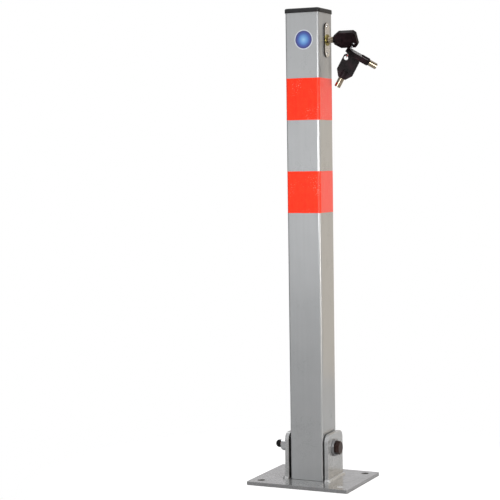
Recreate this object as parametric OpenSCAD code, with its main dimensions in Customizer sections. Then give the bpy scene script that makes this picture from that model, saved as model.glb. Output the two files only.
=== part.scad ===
// Folding parking barrier: a square steel post that stands between two ears of a base plate,
// folds backwards about one bolt, and is held upright by a key-operated bar inside it.
// Millimetres. The origin is the centre of the base plate's underside, +Z up, front face to -Y.

/* [Base] */
// Length of the base plate, left to right
plate_len = 152; // [140:1:180]
// Depth of the base plate, front to back
plate_depth = 126; // [120:1:150]
// Thickness of the base plate
plate_t = 5; // [4:0.5:8]
// Corner radius of the base plate
plate_corner_r = 2; // [1:0.5:6]
// Distance between the anchor holes, left to right
hole_span_x = 120; // [114:1:124]
// Distance between the anchor holes, front to back
hole_span_y = 94; // [84:1:98]
// Diameter of an anchor hole
anchor_hole_d = 10.5; // [8:0.5:12]
// Thickness of an ear
ear_t = 6; // [4:0.5:8]
// Gap between the post and an ear
ear_gap = 2; // [1:0.25:3]
// How far an ear reaches behind the post's centre
ear_back = 30; // [26:0.5:34]
// Height of an ear above the plate
ear_rise = 65.5; // [60:0.5:75]
// Radius of an ear's upper corners
ear_corner_r = 11; // [6:0.5:16]
// Leg of the weld bead at an ear's foot
weld_leg = 3.5; // [2:0.25:5]

/* [Post] */
// Outer width of the square tube
tube_w = 50; // [50:0.5:54]
// Wall thickness of the tube
tube_wall = 2; // [1.5:0.25:2.5]
// Outer corner radius of the tube
tube_corner_r = 3.5; // [3:0.25:5]
// Height of the tube's upper end above the ground
tube_top = 657.6; // [655:0.2:700]
// Gap between the tube's lower end and the plate
foot_gap = 0.4; // [0.3:0.1:1]
// Height of the end cap's rim
cap_rim = 6.4; // [5:0.2:9]
// How far the end cap's rim stands out from the tube
cap_overhang = 1.1; // [0.2:0.1:1.5]
// How deep the end cap's skirt goes into the tube
cap_skirt = 14; // [10:1:15]

/* [Reflective bands] */
// Height of a band
band_h = 58; // [40:1:64]
// Lower edge of the upper band below the tube's upper end
upper_band_drop = 147.8; // [142:0.2:160]
// Lower edge of the lower band below the tube's upper end
lower_band_drop = 276.6; // [270:0.2:300]
// Thickness of the tape
band_t = 0.25; // [0.2:0.05:0.5]

/* [Pivot] */
// Height of the pivot axis above the ground
pivot_z = 50; // [49:0.5:52]
// Place of the pivot axis, front to back
pivot_y = -3; // [-4:0.25:-2]
// Diameter of the pivot bolt
bolt_d = 10; // [8:0.5:10]
// Width across the flats of the bolt head and the nut
hex_af = 17; // [16:0.5:18]
// Height of the bolt head
bolt_head_h = 6.4; // [5:0.2:8]
// Height of the nut
nut_h = 8.4; // [7:0.2:10]
// Diameter of the spacer under the bolt head
spacer_d = 24; // [20:1:26]
// Thickness of the spacer under the bolt head
spacer_t = 3.8; // [3:0.2:6]
// Thickness of the flat washer under the nut
washer_t = 2; // [1.5:0.25:3]
// Thickness of the spring washer under the nut
spring_washer_t = 2.6; // [2:0.2:3.2]
// Length of the domed cap on the bolt's end
dome_len = 10; // [9:0.5:12]
// Wall thickness of the sleeve in the post
sleeve_wall = 2; // [1.5:0.25:2.25]

/* [Lock] */
// Distance of the lock's axis below the tube's upper end
lock_drop = 37.1; // [34:0.1:42]
// Place of the lock's axis, front to back
lock_y = 3; // [2:0.5:4]
// Length of the lock plate
lock_plate_len = 48; // [44:1:52]
// Width of the lock plate
lock_plate_w = 18; // [17.5:0.5:22]
// Thickness of the lock plate
lock_plate_t = 2; // [1.5:0.25:3]
// Distance between the two rivets of the lock plate
rivet_span = 38; // [34:1:38]
// Diameter of a rivet's shank
rivet_d = 4; // [3:0.5:5]
// Diameter of the lock body
housing_d = 16; // [14.5:0.5:16]
// Depth of the lock body behind its face
housing_len = 24; // [22:0.5:24.5]
// How far the lock body stands out of the lock plate
housing_proud = 1; // [0.5:0.25:1.5]
// Diameter of the plug that turns in the lock body
plug_d = 11; // [10.5:0.25:12]
// How far the bar moves between open and locked
bar_travel = 9.2; // [8:0.2:9.2]
// Diameter of the crank pin
crank_pin_d = 5; // [4:0.5:6]
// Thickness of the cam
cam_t = 3; // [2:0.5:3.5]

/* [Lock bar] */
// Thickness of the bar, left to right
bar_t = 6; // [4:0.5:7]
// Width of the bar, front to back
bar_w = 9; // [7:0.25:9]
// Height of the bar's foot above the ground when open
bar_foot_z = 10; // [9.8:0.1:10.5]
// Thickness of the sheet of a bar guide
guide_t = 2; // [1.5:0.25:2.5]
// Height of a bar guide
guide_h = 14; // [8:1:20]

/* [Keys] */
// Outer diameter of a key's barrel
barrel_d = 8.5; // [7.5:0.1:8.7]
// Inner diameter of a key's barrel
barrel_bore = 6.7; // [6:0.1:6.8]
// Length of a key's barrel outside its head
barrel_len = 13.5; // [11:0.5:15]
// Length of a key's head
head_len = 34; // [30:0.5:38]
// Width of a key's head
head_w = 24; // [20:0.5:26]
// Thickness of a key's head
head_t = 7; // [6:0.5:9]
// Diameter of the hole in a key's head
head_hole_d = 6; // [5.5:0.25:6.5]
// Angle of the key in the lock, turned about the lock's axis
key_turn = 36; // [20:1:45]
// Depth of the barrel in the lock
key_depth = 4.5; // [3:0.5:6]
// Mean radius of the split ring
ring_r = 11.2; // [10.8:0.1:12]
// Thickness of the split ring along its own axis
ring_h = 1.8; // [1.6:0.1:2]
// Thickness of the split ring's wire across
ring_wire = 1.4; // [1.2:0.1:1.6]

/* [Front sticker] */
// Diameter of the round sticker
sticker_d = 27; // [20:1:32]
// Place of the sticker's centre, left to right
sticker_x = 3; // [0:0.5:5]

/* [Hidden] */

$fn = 64;

// Fits
run_fit = 0.05;   // radial clearance of a pin or shaft that turns
seat_fit = 0.05;  // clearance of a piece pressed or set into another
slide_fit = 0.3;  // clearance on each side of the lock bar
yoke_fit = 0.4;   // clearance above and below the crank pin in its slot
eps = 1;          // how far a cut reaches past the face it opens

// Places worked out from the sizes above
half_tube = tube_w / 2;
tube_inner = tube_w - 2 * tube_wall;
tube_foot = plate_t + foot_gap;
ear_front = half_tube;
ear_in = half_tube + ear_gap;
ear_out = ear_in + ear_t;
ear_top = plate_t + ear_rise;
ear_hole_d = bolt_d + 0.4;
sleeve_bore = bolt_d + 2 * run_fit;
sleeve_d = sleeve_bore + 2 * sleeve_wall;
head_in = ear_out + spacer_t;
nut_in = -(ear_out + washer_t + spring_washer_t);
nut_out = nut_in - nut_h;
dome_d = bolt_d + 1.2;
bolt_stick_out = 5;
side_washer_t = ear_gap - 2 * run_fit;
side_washer_band = 6;
side_washer_d = bolt_d + 2 * side_washer_band;
// The rear foot of the tube is cut on this radius, so that it swings clear of the plate
swing_r = pivot_z - plate_t - 0.6;

upper_band_z = tube_top - upper_band_drop;
lower_band_z = tube_top - lower_band_drop;

lock_z = tube_top - lock_drop;
plate_face_x = half_tube + lock_plate_t;
housing_face_x = plate_face_x + housing_proud;
housing_back_x = housing_face_x - housing_len;
lip_t = 1;
lip_r = plug_d / 2 - 0.6;
groove_depth = 8;
rivet_head_d = rivet_d + 3;
rivet_head_h = 1.4;
crank_r = bar_travel / sqrt(2);
cam_gap = 0.5;
cam_x = housing_back_x - cam_gap - cam_t;
cam_hub_r = 6.5;
plug_square = 6;
cam_screw_d = 3;
cam_screw_len = 6;
screw_head_t = 1.9;
screw_head_d = 7.4;
bar_x = cam_x - screw_head_t - 0.6 - bar_t;
bar_front = -half_tube + tube_wall + 2.5;
bar_head_back = lock_y + 2;
bar_head_h = 22;
bar_head_top = lock_z + crank_r / sqrt(2) + bar_head_h / 2;
crank_pin_len = -bar_x + cam_x + 0.8;
// The crank pin's farthest and nearest place in front of the lock's axis
crank_far_y = lock_y - crank_r;
crank_near_y = lock_y - crank_r / sqrt(2);
upper_guide_drop = 119.8;
upper_guide_z = tube_top - upper_guide_drop;
lower_guide_rise = 15;
lower_guide_z = ear_top + lower_guide_rise;

shoulder = 9;
neck_w = barrel_d + 2.5;
head_corner = 3.5;
hole_u = head_len - 6.5;
hole_side = head_w / 2 - 4.5;
stem_len = 10;
neck_x = housing_face_x - key_depth + barrel_len;
key_cuts = 7;
// How far a key or the ring drops in the slack between the wire and the edge of a head's hole
ring_seat = 0.45;
ring_bore_r = ring_r - ring_wire / 2;
ring_sag = ring_bore_r - sqrt(pow(ring_bore_r, 2) - pow(head_t / 2, 2));
hang = head_hole_d / 2 - ring_wire / 2 - ring_sag - ring_seat;
// How the split ring hangs, as turns about Y and Z, and where the keys sit round it
ring_tilt = 61;
ring_turn = 204;
key_station = 140;
spare_a_station = -9;
spare_a_swing = 181;
spare_b_station = 78;
spare_b_swing = 112;
spare_b_tip = -4;
// Centre of the hole in the head of the key in the lock
key_hole = [
    neck_x + hole_u,
    lock_y + hole_side * sin(key_turn),
    lock_z - hole_side * cos(key_turn)
];
// Direction from the split ring's centre to that hole
ring_out = [
    cos(ring_turn) * cos(ring_tilt) * cos(key_station) - sin(ring_turn) * sin(key_station),
    sin(ring_turn) * cos(ring_tilt) * cos(key_station) + cos(ring_turn) * sin(key_station),
    -sin(ring_tilt) * cos(key_station)
];
ring_centre = key_hole - (ring_r + hang) * ring_out;

// Shared shapes

// A rectangle with round corners, centred
module round_rect(w, h, r) {
    square([w - 2 * r, h], center = true);
    square([w, h - 2 * r], center = true);
    for (sx = [-1, 1], sy = [-1, 1])
        translate([sx * (w / 2 - r), sy * (h / 2 - r)])
            circle(r = r);
}

// A cylinder along X from x0 to x1
module x_rod(x0, x1, d, y = 0, z = 0) {
    translate([min(x0, x1), y, z])
        rotate([0, 90, 0])
            cylinder(h = abs(x1 - x0), d = d);
}

// The same on the pivot axis
module pivot_rod(x0, x1, d) {
    x_rod(x0, x1, d, pivot_y, pivot_z);
}

// The same on the lock's axis
module lock_rod(x0, x1, d) {
    x_rod(x0, x1, d, lock_y, lock_z);
}

// A flat profile in the YZ plane, drawn from x0 for a thickness t
module yz_plate(x0, t) {
    translate([x0, 0, 0])
        rotate([90, 0, 90])
            linear_extrude(t)
                children();
}

// A ring on the pivot axis
module pivot_ring(x0, x1, d, bore) {
    difference() {
        pivot_rod(x0, x1, d);
        pivot_rod(min(x0, x1) - eps, max(x0, x1) + eps, bore);
    }
}

// A hexagon on the pivot axis with its outer corners turned off, thinner at x1
module pivot_hex(x0, x1) {
    across = hex_af / cos(30);
    len = abs(x1 - x0);
    crown = 1.2;
    translate([x0, pivot_y, pivot_z])
        rotate([0, x1 > x0 ? 90 : -90, 0])
            intersection() {
                cylinder(h = len, d = across, $fn = 6);
                union() {
                    cylinder(h = len - crown, d = across + 1);
                    translate([0, 0, len - crown])
                        cylinder(h = crown, d1 = across + 1, d2 = hex_af - 1);
                }
            }
}

// Base

module base_plate() {
    color([0.72, 0.73, 0.75])
    difference() {
        linear_extrude(plate_t)
            round_rect(plate_len, plate_depth, plate_corner_r);
        for (sx = [-1, 1], sy = [-1, 1])
            translate([sx * hole_span_x / 2, sy * hole_span_y / 2, -eps])
                cylinder(h = plate_t + 2 * eps, d = anchor_hole_d);
        translate([bar_x - slide_fit, bar_front - slide_fit, -eps])
            cube([bar_t + 2 * slide_fit, bar_w + 2 * slide_fit, plate_t + 2 * eps]);
    }
}

module ear(x0) {
    r = ear_corner_r;
    depth = ear_front + ear_back;
    color([0.70, 0.71, 0.73])
    difference() {
        yz_plate(x0, ear_t) {
            translate([-ear_front, plate_t])
                square([depth, ear_rise - r]);
            translate([-ear_front + r, plate_t])
                square([depth - 2 * r, ear_rise]);
            for (y = [-ear_front + r, ear_back - r])
                translate([y, ear_top - r])
                    circle(r = r);
        }
        pivot_rod(x0 - eps, x0 + ear_t + eps, ear_hole_d);
    }
}

module left_ear() {
    ear(-ear_out);
}

module right_ear() {
    ear(ear_in);
}

// A bead along the outer foot of an ear and round its two ends
module weld_bead() {
    start = ear_in + 0.5;
    color([0.74, 0.75, 0.77])
    difference() {
        union() {
            translate([ear_out, ear_back, plate_t])
                rotate([90, 0, 0])
                    cylinder(h = ear_front + ear_back, r = weld_leg);
            for (y = [-ear_front, ear_back]) {
                x_rod(start, ear_out, 2 * weld_leg, y, plate_t);
                translate([ear_out, y, plate_t])
                    sphere(r = weld_leg);
            }
        }
        translate([ear_in - eps, -ear_front, 0])
            cube([ear_t + eps, ear_front + ear_back, ear_top]);
        translate([0, -plate_depth / 2, plate_t - 2 * weld_leg])
            cube([plate_len / 2, plate_depth, 2 * weld_leg]);
    }
}

module right_ear_weld() {
    weld_bead();
}

module left_ear_weld() {
    mirror([1, 0, 0])
        weld_bead();
}

// Pivot

module pivot_bolt() {
    color([0.10, 0.10, 0.11]) {
        pivot_rod(nut_out - bolt_stick_out, head_in, bolt_d);
        pivot_hex(head_in, head_in + bolt_head_h);
    }
}

module head_spacer() {
    color([0.66, 0.67, 0.69])
        pivot_ring(ear_out, head_in, spacer_d, ear_hole_d);
}

module flat_washer() {
    color([0.76, 0.77, 0.78])
        pivot_ring(-ear_out, -ear_out - washer_t, hex_af + 3, ear_hole_d);
}

module spring_washer() {
    slit = 1.2;
    color([0.60, 0.61, 0.63])
    difference() {
        pivot_ring(-ear_out - washer_t, nut_in, hex_af, ear_hole_d);
        translate([nut_in, pivot_y, pivot_z])
            rotate([20, 0, 0])
                translate([-eps, -slit / 2, 0])
                    cube([spring_washer_t + 2 * eps, slit, hex_af]);
    }
}

module pivot_nut() {
    color([0.80, 0.81, 0.82])
    difference() {
        pivot_hex(nut_in, nut_out);
        pivot_rod(nut_in + eps, nut_out - eps, bolt_d + 2 * seat_fit);
    }
}

module bolt_end_cap() {
    dome_r = dome_d / 2;
    color([0.05, 0.05, 0.05])
    translate([nut_out, pivot_y, pivot_z])
        rotate([0, -90, 0])
            difference() {
                union() {
                    cylinder(h = dome_len - dome_r, d = dome_d);
                    translate([0, 0, dome_len - dome_r])
                        sphere(r = dome_r);
                }
                translate([0, 0, -dome_d])
                    cylinder(h = dome_d, d = 2 * dome_d);
                translate([0, 0, -eps])
                    cylinder(h = bolt_stick_out + eps + seat_fit, d = bolt_d + 2 * seat_fit);
            }
}

module side_washers() {
    color([0.25, 0.25, 0.26])
    for (side = [-1, 1])
        pivot_ring(
            side * (half_tube + run_fit),
            side * (half_tube + run_fit + side_washer_t),
            side_washer_d,
            ear_hole_d
        );
}

// Post

module post_tube() {
    color([0.69, 0.70, 0.72])
    difference() {
        translate([0, 0, tube_foot])
            linear_extrude(tube_top - tube_foot)
                difference() {
                    round_rect(tube_w, tube_w, tube_corner_r);
                    round_rect(tube_inner, tube_inner, tube_corner_r - tube_wall);
                }
        pivot_rod(-half_tube - eps, half_tube + eps, sleeve_d + 2 * seat_fit);
        lock_rod(half_tube - tube_wall - eps, half_tube + eps, housing_d + 2 * seat_fit);
        for (side = [-1, 1])
            x_rod(
                half_tube - tube_wall - eps, half_tube + eps, rivet_d + 2 * seat_fit,
                lock_y, lock_z + side * rivet_span / 2
            );
        // The rear foot, outside the radius that swings clear of the plate
        difference() {
            translate([-half_tube - eps, pivot_y, 0])
                cube([tube_w + 2 * eps, tube_w, pivot_z]);
            pivot_rod(-half_tube - 2 * eps, half_tube + 2 * eps, 2 * swing_r);
        }
    }
}

module pivot_sleeve() {
    color([0.62, 0.63, 0.65])
        pivot_ring(-half_tube, half_tube, sleeve_d, sleeve_bore);
}

module end_cap() {
    rim_w = tube_w + 2 * cap_overhang;
    rim_r = tube_corner_r + cap_overhang;
    skirt_w = tube_inner - 2 * seat_fit;
    skirt_wall = 2;
    crown_r = 2;
    fin_w = skirt_w - 1.2;
    fin_h = 1.5;
    fin_drops = [2 * fin_h, 6 * fin_h];
    color([0.05, 0.05, 0.055]) {
        // The rim with its rounded upper edge
        translate([0, 0, tube_top])
            hull()
                for (sx = [-1, 1], sy = [-1, 1], a = [0, 30, 60, 90])
                    translate([sx * (rim_w / 2 - rim_r), sy * (rim_w / 2 - rim_r), 0])
                        cylinder(
                            h = cap_rim - crown_r * (1 - sin(a)),
                            r = rim_r - crown_r * (1 - cos(a)),
                            $fn = 32
                        );
        // The skirt with its two gripping fins
        difference() {
            union() {
                translate([0, 0, tube_top - cap_skirt])
                    linear_extrude(cap_skirt)
                        round_rect(fin_w, fin_w, tube_corner_r - tube_wall);
                for (drop = fin_drops)
                    translate([0, 0, tube_top - drop])
                        linear_extrude(fin_h)
                            round_rect(skirt_w, skirt_w, tube_corner_r - tube_wall);
            }
            translate([0, 0, tube_top - cap_skirt - eps])
                linear_extrude(cap_skirt + eps)
                    square(fin_w - 2 * skirt_wall, center = true);
        }
    }
}

module band(z) {
    color([0.93, 0.22, 0.13])
    translate([0, 0, z])
        linear_extrude(band_h)
            difference() {
                round_rect(tube_w + 2 * band_t, tube_w + 2 * band_t, tube_corner_r + band_t);
                round_rect(tube_w, tube_w, tube_corner_r);
            }
}

module upper_band() {
    band(upper_band_z);
}

module lower_band() {
    band(lower_band_z);
}

module front_sticker() {
    color([0.20, 0.30, 0.60])
    translate([sticker_x, -half_tube, lock_z])
        rotate([90, 0, 0])
            cylinder(h = 0.2, d = sticker_d);
}

// Lock

module lock_plate() {
    end_r = lock_plate_w / 2;
    straight = lock_plate_len - lock_plate_w;
    color([0.75, 0.74, 0.70])
    difference() {
        yz_plate(half_tube, lock_plate_t)
            translate([lock_y, lock_z]) {
                square([lock_plate_w, straight], center = true);
                for (side = [-1, 1])
                    translate([0, side * straight / 2])
                        circle(r = end_r);
            }
        lock_rod(half_tube - eps, plate_face_x + eps, housing_d + 2 * seat_fit);
        for (side = [-1, 1])
            x_rod(
                half_tube - eps, plate_face_x + eps, rivet_d + 2 * seat_fit,
                lock_y, lock_z + side * rivet_span / 2
            );
    }
}

// A rivet with a low domed head outside and a flat tail inside the tube
module rivet(z) {
    dome_r = (pow(rivet_head_d / 2, 2) + pow(rivet_head_h, 2)) / (2 * rivet_head_h);
    grip = tube_wall + lock_plate_t;
    tail_h = 1.5;
    translate([plate_face_x, lock_y, z])
        rotate([0, 90, 0])
            rotate_extrude() {
                intersection() {
                    translate([0, rivet_head_h - dome_r])
                        circle(r = dome_r);
                    square([rivet_head_d, rivet_head_h]);
                }
                translate([0, -grip])
                    square([rivet_d / 2, grip]);
                translate([0, -grip - tail_h])
                    square([rivet_d / 2 + 0.8, tail_h]);
            }
}

module plate_rivets() {
    color([0.70, 0.70, 0.70])
    for (side = [-1, 1])
        rivet(lock_z + side * rivet_span / 2);
}

module lock_housing() {
    color([0.75, 0.62, 0.32])
    difference() {
        lock_rod(housing_back_x, housing_face_x, housing_d);
        lock_rod(housing_back_x - eps, housing_face_x - lip_t, plug_d + 2 * run_fit);
        lock_rod(housing_back_x, housing_face_x + eps, 2 * (lip_r + run_fit));
    }
}

module lock_plug() {
    nose_x = housing_face_x - 0.3;
    square_x = cam_x + 0.1;
    color([0.80, 0.70, 0.42])
    difference() {
        union() {
            lock_rod(housing_back_x - cam_gap, housing_face_x - lip_t - run_fit, plug_d);
            lock_rod(housing_back_x, nose_x, 2 * lip_r);
            translate([square_x, lock_y - plug_square / 2, lock_z - plug_square / 2])
                cube([housing_back_x - square_x, plug_square, plug_square]);
        }
        // The round groove that takes the key's barrel
        difference() {
            lock_rod(nose_x - groove_depth, nose_x + eps, barrel_d + 2 * run_fit);
            lock_rod(nose_x - groove_depth - eps, nose_x + 2 * eps, barrel_bore - 2 * run_fit);
        }
        // The threaded hole of the cam's screw
        lock_rod(square_x - eps, square_x + cam_screw_len + 1, cam_screw_d + 2 * seat_fit);
    }
}

// The cam's arm points forward and up when the lock is open
module lock_cam() {
    color([0.68, 0.69, 0.71])
    translate([cam_x, lock_y, lock_z])
        rotate([-45, 0, 0]) {
            difference() {
                rotate([90, 0, 90])
                    linear_extrude(cam_t) {
                        circle(r = cam_hub_r);
                        translate([-crank_r, 0])
                            circle(r = crank_pin_d / 2 + 1.5);
                        translate([-crank_r, -crank_pin_d / 2 - 1.5])
                            square([crank_r, crank_pin_d + 3]);
                    }
                rotate([45, 0, 0])
                    cube(
                        [2 * cam_t + 2 * eps, plug_square + 2 * seat_fit, plug_square + 2 * seat_fit],
                        center = true
                    );
            }
            translate([-crank_pin_len + seat_fit, -crank_r, 0])
                rotate([0, 90, 0])
                    cylinder(h = crank_pin_len, d = crank_pin_d);
        }
}

module cam_screw() {
    color([0.60, 0.61, 0.63]) {
        lock_rod(cam_x - screw_head_t, cam_x, screw_head_d);
        lock_rod(cam_x, cam_x + cam_screw_len, cam_screw_d);
    }
}

// The bar with the cross slot that the crank pin works in
module lock_bar() {
    slot_h = crank_pin_d + 2 * yoke_fit;
    pin_z = lock_z + crank_r / sqrt(2);
    tip = 1.5;
    color([0.64, 0.65, 0.67])
    difference() {
        union() {
            translate([bar_x, bar_front, bar_foot_z])
                cube([bar_t, bar_w, bar_head_top - bar_foot_z]);
            translate([bar_x, bar_front, bar_head_top - bar_head_h])
                cube([bar_t, bar_head_back - bar_front, bar_head_h]);
        }
        for (y = [crank_far_y, crank_near_y])
            x_rod(bar_x - eps, bar_x + bar_t + eps, slot_h, y, pin_z);
        translate([bar_x - eps, crank_far_y, pin_z - slot_h / 2])
            cube([bar_t + 2 * eps, crank_near_y - crank_far_y, slot_h]);
        // The chamfers that lead the foot into the plate's slot
        for (side = [0, 1])
            translate([bar_x + side * bar_t, bar_front - eps, bar_foot_z])
                rotate([0, 45, 0])
                    translate([-tip / sqrt(2), 0, -tip / sqrt(2)])
                        cube([sqrt(2) * tip, bar_w + 2 * eps, sqrt(2) * tip]);
    }
}

// A bent strap welded to the inside of the tube's front wall
module bar_guide(z) {
    wall_y = -half_tube + tube_wall;
    inner_w = bar_t + 2 * slide_fit;
    inner_back = bar_front + bar_w + slide_fit;
    color([0.62, 0.63, 0.65])
    translate([bar_x - slide_fit, wall_y, z])
        difference() {
            translate([-guide_t, 0, 0])
                cube([inner_w + 2 * guide_t, inner_back - wall_y + guide_t, guide_h]);
            translate([0, -eps, -eps])
                cube([inner_w, inner_back - wall_y + eps, guide_h + 2 * eps]);
        }
}

module upper_guide() {
    bar_guide(upper_guide_z);
}

module lower_guide() {
    bar_guide(lower_guide_z);
}

// Keys
// In a key's own frame the barrel points along -X from the head's neck at x = 0, the head
// lies in the XZ plane, and the hole in the head is on the -Z side.

module barrel() {
    cut_w = 1.1;
    difference() {
        translate([-barrel_len, 0, 0])
            rotate([0, 90, 0])
                cylinder(h = barrel_len + stem_len, d = barrel_d);
        translate([-barrel_len - eps, 0, 0])
            rotate([0, 90, 0])
                cylinder(h = barrel_len + eps, d = barrel_bore);
        // The cuts round the end, each to its own depth
        for (i = [0 : key_cuts - 1])
            rotate([i * 360 / key_cuts + 90, 0, 0])
                translate([-barrel_len, barrel_bore / 2 - 0.5, 0])
                    rotate([-90, 0, 0])
                        cylinder(h = barrel_d, d = cut_w + 0.5 * (i % 3), $fn = 24);
    }
}

module head() {
    half_w = head_w / 2;
    c = head_corner;
    flank = [
        [0, neck_w / 2],
        [shoulder, half_w],
        [head_len - c, half_w],
        [head_len, half_w - c]
    ];
    difference() {
        translate([0, head_t / 2, 0])
            rotate([90, 0, 0])
                linear_extrude(head_t)
                    polygon(concat(
                        flank,
                        [for (i = [len(flank) - 1 : -1 : 0]) [flank[i][0], -flank[i][1]]]
                    ));
        translate([hole_u, head_t, -hole_side])
            rotate([90, 0, 0])
                cylinder(h = 2 * head_t, d = head_hole_d);
    }
    // The collar round the barrel
    rotate([0, 90, 0])
        cylinder(h = stem_len + 2, d = neck_w);
}

module head_with_socket() {
    difference() {
        head();
        translate([-eps, 0, 0])
            rotate([0, 90, 0])
                cylinder(h = stem_len + eps + seat_fit, d = barrel_d + 2 * seat_fit);
    }
}

module in_lock() {
    translate([neck_x, lock_y, lock_z])
        rotate([key_turn, 0, 0])
            children();
}

// Hangs a key by its hole on the split ring: its station round the ring, its swing about the
// wire, and how far it tips in the slack of its hole
module on_ring(station, swing, tip, flip) {
    translate(ring_centre)
        rotate([0, ring_tilt, ring_turn])
            rotate([0, 0, station])
                translate([ring_r, 0, 0])
                    rotate([tip, 0, 0])
                        rotate([0, swing, 0])
                            rotate([0, 0, flip])
                                translate([-hole_u - hang, 0, hole_side])
                                    children();
}

module key_barrel() {
    color([0.78, 0.76, 0.70])
        in_lock()
            barrel();
}

module key_head() {
    color([0.06, 0.06, 0.07])
        in_lock()
            head_with_socket();
}

module on_ring_a() {
    on_ring(spare_a_station, spare_a_swing, 0, 0)
        children();
}

module on_ring_b() {
    on_ring(spare_b_station, spare_b_swing, spare_b_tip, 180)
        children();
}

module spare_key_a_barrel() {
    color([0.78, 0.76, 0.70])
        on_ring_a()
            barrel();
}

module spare_key_a_head() {
    color([0.06, 0.06, 0.07])
        on_ring_a()
            head_with_socket();
}

module spare_key_b_barrel() {
    color([0.78, 0.76, 0.70])
        on_ring_b()
            barrel();
}

module spare_key_b_head() {
    color([0.06, 0.06, 0.07])
        on_ring_b()
            head_with_socket();
}

// Two turns of flat wire, drawn as one ring with the seam between them
module key_ring() {
    seam = 0.4;
    color([0.75, 0.76, 0.78])
    translate(ring_centre)
        rotate([0, ring_tilt, ring_turn])
            rotate_extrude()
                translate([ring_r, 0])
                    difference() {
                        square([ring_wire, ring_h], center = true);
                        for (side = [-1, 1])
                            translate([side * ring_wire / 2, 0])
                                square([seam, seam], center = true);
                    }
}

base_plate();
left_ear();
right_ear();
left_ear_weld();
right_ear_weld();
pivot_bolt();
head_spacer();
flat_washer();
spring_washer();
pivot_nut();
bolt_end_cap();
side_washers();
post_tube();
pivot_sleeve();
end_cap();
upper_band();
lower_band();
front_sticker();
lock_plate();
plate_rivets();
lock_housing();
upper_guide();
lower_guide();
lock_plug();
lock_cam();
cam_screw();
lock_bar();
key_barrel();
key_head();
key_ring();
spare_key_a_barrel();
spare_key_a_head();
spare_key_b_barrel();
spare_key_b_head();
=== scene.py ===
import logging
import math
import random
from dataclasses import dataclass
from enum import Enum
from typing import Iterable, Sequence

import bmesh
import bpy
from mathutils import Matrix, Vector, noise


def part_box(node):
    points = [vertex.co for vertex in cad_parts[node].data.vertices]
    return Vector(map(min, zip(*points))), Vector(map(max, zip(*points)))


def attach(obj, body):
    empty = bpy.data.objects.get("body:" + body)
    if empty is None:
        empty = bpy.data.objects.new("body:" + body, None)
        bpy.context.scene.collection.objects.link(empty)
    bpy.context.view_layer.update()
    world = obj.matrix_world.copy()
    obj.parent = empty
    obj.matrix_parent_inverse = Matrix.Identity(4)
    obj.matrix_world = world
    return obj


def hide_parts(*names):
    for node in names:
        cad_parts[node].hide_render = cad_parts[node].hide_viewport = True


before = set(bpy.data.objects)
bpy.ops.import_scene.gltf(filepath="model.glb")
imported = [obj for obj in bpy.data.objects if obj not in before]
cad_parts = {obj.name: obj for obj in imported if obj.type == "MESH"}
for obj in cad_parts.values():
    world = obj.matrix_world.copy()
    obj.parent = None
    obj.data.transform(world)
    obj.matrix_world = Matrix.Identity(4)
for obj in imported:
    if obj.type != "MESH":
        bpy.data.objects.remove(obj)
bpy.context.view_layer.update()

LOG = logging.getLogger("barrier")
MM = 0.001

Colour = tuple[float, float, float]
Point = tuple[float, float, float]

BLACK: Colour = (0.0, 0.0, 0.0)
WHITE: Colour = (1.0, 1.0, 1.0)
UP = Vector((0, 0, 1))


class Body(Enum):
    """The moving bodies that a piece can ride on."""

    BASE = "base"
    POST = "post"
    LOCK_PLUG = "lock_plug"
    LOCK_BAR = "lock_bar"
    KEY = "key"
    KEY_RING = "key_ring"
    SPARE_KEY_A = "spare_key_a"
    SPARE_KEY_B = "spare_key_b"


class Slot(Enum):
    """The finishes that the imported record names."""

    POST_PAINT = "post_paint"
    BASE_PAINT = "base_paint"
    WELD_PAINT = "weld_paint"
    BLACK_BOLT = "black_bolt"
    SPACER_STEEL = "spacer_steel"
    ZINC_STEEL = "zinc_steel"
    BLACK_CAP = "black_cap"
    WASHER_NYLON = "washer_nylon"
    BARE_STEEL = "bare_steel"
    BLACK_PLASTIC = "black_plastic"
    RED_TAPE = "red_tape"
    STICKER = "sticker"
    LOCK_NICKEL = "lock_nickel"
    LOCK_BRASS = "lock_brass"
    KEY_NICKEL = "key_nickel"
    KEY_PLASTIC = "key_plastic"
    RING_STEEL = "ring_steel"


class Axis(Enum):
    """The axes of a piece: X to the right, Y to the back and Z up."""

    X = "X"
    Y = "Y"
    Z = "Z"


def shade(red: int, green: int, blue: int) -> Colour:
    """Turns a colour as a screen shows it, 0 to 255, into the linear one that a shader takes.

    Args:
        red: Its red.
        green: Its green.
        blue: Its blue.

    Returns:
        The linear colour.
    """

    def linear(value: int) -> float:
        """One channel of it."""
        part = value / 255
        return part / 12.92 if part <= 0.04045 else ((part + 0.055) / 1.055) ** 2.4

    return linear(red), linear(green), linear(blue)


# Shader nodes


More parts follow.
